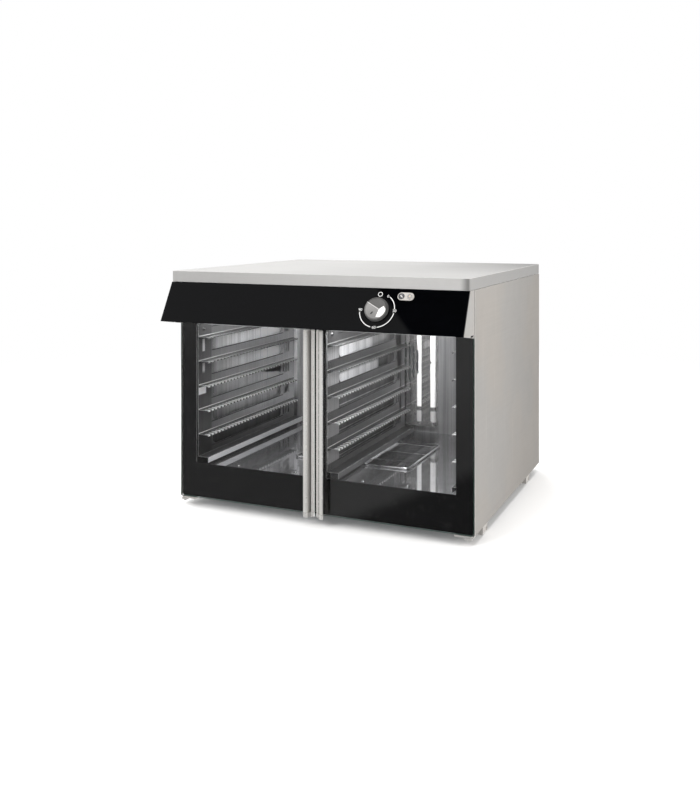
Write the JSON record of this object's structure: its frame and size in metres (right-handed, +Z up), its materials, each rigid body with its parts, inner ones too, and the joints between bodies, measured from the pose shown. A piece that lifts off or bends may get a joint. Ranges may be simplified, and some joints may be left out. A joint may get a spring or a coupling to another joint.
{
  "type": "food holding cabinet",
  "caption": "Free-standing heated cabinet with a flat top, slanted control fascia with a knob, paired glass doors on pivot hinges, tray ledges, a water basin and feet.",
  "frame": {"origin": "centre of the whole object's footprint, on the floor under the feet", "axes": "+Z up, -Y towards the doors and the control fascia, +X to the user's right seen from the front"},
  "size_m": [0.935, 0.9568, 0.722],
  "materials": {
    "stainless_outer": "brushed, satin",
    "stainless_inner": "bright annealed",
    "galvanised": "galvanised sheet",
    "chrome_wire": "polished",
    "bezel_chrome": "polished",
    "satin_aluminium": "satin anodised",
    "knob_metal": "turned, brushed",
    "black_glass": "black back-printed glass",
    "clear_glass": "clear toughened glass",
    "black_frame": "black, semi-gloss",
    "seal_rubber": "silicone profile",
    "cable_rubber": "rubber sheath",
    "heater_mat": "silicone heating mat",
    "heater_sheath": "oxidised steel sheath",
    "copper": "copper bulb",
    "mineral_wool": "mineral wool slab",
    "dark_plastic": "moulded",
    "ceramic": "moulded, cream",
    "lamp_dark": "lens, unlit",
    "lamp_light": "lens, unlit"
  },
  "bodies": {
    "cabinet": {"top_panel": "stainless_outer", "side_panel_right": "stainless_outer", "side_panel_left": "stainless_outer", "back_panel": "stainless_outer", "base_pan": "galvanised", "front_frame": "stainless_inner", "chamber_liner": "stainless_inner", "chamber_floor": "stainless_inner", "rack_left": "stainless_inner", "rack_right": "stainless_inner", "rack_centre_right": "stainless_inner", "rack_centre_left": "stainless_inner", "rack_divider": "stainless_inner", "basin_guard": "chrome_wire", "rear_duct": "stainless_inner", "fan_motor": "dark_plastic", "heater_ring": "heater_sheath", "basin_heater": "heater_mat", "thermostat_bulb": "copper", "insulation_wrap": "mineral_wool", "insulation_back": "mineral_wool", "insulation_bottom": "mineral_wool", "control_housing": "stainless_outer", "fascia_glass": "black_glass", "thermostat_body": "ceramic", "lamp_bezel": "bezel_chrome", "lamp_power": "lamp_dark", "lamp_heating": "lamp_light", "hinge_bracket_lower_right": "stainless_outer", "hinge_bracket_lower_left": "stainless_outer", "hinge_bracket_upper_right": "stainless_outer", "hinge_bracket_upper_left": "stainless_outer", "magnet_catch_right": "dark_plastic", "magnet_catch_left": "dark_plastic", "terminal_block": "ceramic", "cable_gland": "dark_plastic", "power_cable": "cable_rubber", "foot_front_right": "stainless_outer", "foot_front_left": "stainless_outer", "foot_rear_right": "stainless_outer", "foot_rear_left": "stainless_outer"},
    "left_door": {"door_glass_left": "clear_glass", "door_frame_left": "black_frame", "door_gasket_left": "seal_rubber", "door_handle_left": "satin_aluminium", "handle_cap_lower_left": "satin_aluminium", "handle_cap_upper_left": "satin_aluminium", "door_pivot_lower_left": "stainless_outer", "door_pivot_upper_left": "stainless_outer"},
    "right_door": {"door_glass_right": "clear_glass", "door_frame_right": "black_frame", "door_gasket_right": "seal_rubber", "door_handle_right": "satin_aluminium", "handle_cap_lower_right": "satin_aluminium", "handle_cap_upper_right": "satin_aluminium", "door_pivot_lower_right": "stainless_outer", "door_pivot_upper_right": "stainless_outer"},
    "knob": {"control_knob": "knob_metal", "thermostat_shaft": "knob_metal"},
    "fan": {"fan_wheel": "galvanised"}
  },
  "joints": [
    {"name": "left_door_hinge", "type": "hinge", "parent": "cabinet", "child": "left_door", "pos_m": [-0.4518, -0.3704, 0.3], "axis": [0, 0, -1], "range_deg": [0, 95]},
    {"name": "right_door_hinge", "type": "hinge", "parent": "cabinet", "child": "right_door", "pos_m": [0.4518, -0.3704, 0.3], "axis": [0, 0, 1], "range_deg": [0, 95]},
    {"name": "knob_turn", "type": "hinge", "parent": "cabinet", "child": "knob", "pos_m": [0.216, -0.44812, 0.632], "axis": [0, -0.8848, 0.466], "range_deg": [-54, 213]},
    {"name": "fan_spin", "type": "hinge", "parent": "cabinet", "child": "fan", "pos_m": [0, 0.35059, 0.372], "axis": [0, 1, 0], "continuous": true}
  ]
}
